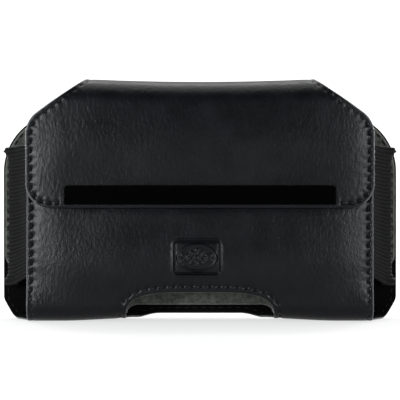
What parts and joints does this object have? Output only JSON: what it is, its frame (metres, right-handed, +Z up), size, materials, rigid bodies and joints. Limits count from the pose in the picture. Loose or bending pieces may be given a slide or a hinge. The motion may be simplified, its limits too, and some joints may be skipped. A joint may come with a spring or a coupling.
{
  "type": "leather belt pouch",
  "caption": "Horizontal leather belt pouch with elastic side gussets, a magnetic fold-over flap with a trim bar, a thumb cut-out and a sprung belt clip.",
  "frame": {"origin": "under the middle of the pouch, clip included, on the surface that it stands on", "axes": "+Z up, +X across the pouch to the right of someone facing its front, -Y out of the front panel, the belt clip at +Y"},
  "size_m": [0.134, 0.0364, 0.0805],
  "materials": {
    "leather": "satin smooth-grain black leather",
    "felt": "brushed grey-green felt",
    "board": "plain stiffener sheet",
    "elastic": "ribbed black elastic webbing",
    "magnet": "nickel-plated disc",
    "thread": "black bonded thread",
    "steel": "satin steel",
    "clip_plastic": "fine-textured black moulding",
    "trim": "smooth flat black bar"
  },
  "bodies": {
    "pouch": {"outer_wrap": "leather", "body_lining": "felt", "front_board": "board", "back_board": "board", "left_gusset": "elastic", "right_gusset": "elastic", "front_magnets": "magnet", "front_seams": "thread", "cutout_seam": "thread", "back_seams": "thread", "clip_rivets": "steel", "rivet_washers": "steel", "clip_base": "clip_plastic", "clip_pin": "steel", "clip_spring": "steel"},
    "flap_top": {"flap_top_leather": "leather", "flap_top_lining": "felt"},
    "flap_front": {"flap_front_leather": "leather", "flap_front_lining": "felt", "flap_board": "board", "flap_magnets": "magnet", "flap_bar": "trim", "bar_washers": "steel", "flap_seams": "thread"},
    "clip_arm": {"clip_arm": "clip_plastic"}
  },
  "joints": [
    {"name": "flap_lift", "type": "hinge", "parent": "pouch", "child": "flap_top", "pos_m": [0, 0.00668, 0.07933], "axis": [-1, 0, 0], "range_deg": [0, 150]},
    {"name": "flap_fold", "type": "hinge", "parent": "flap_top", "child": "flap_front", "pos_m": [0, -0.01491, 0.07816], "axis": [-1, 0, 0], "range_deg": [0, 80]},
    {"name": "clip_open", "type": "hinge", "parent": "pouch", "child": "clip_arm", "pos_m": [0, 0.01265, 0.061], "axis": [1, 0, 0], "range_deg": [0, 20], "stiffness_Nm_per_rad": 0.3, "springref_deg": -17.19, "deforming": ["clip_spring"]}
  ]
}
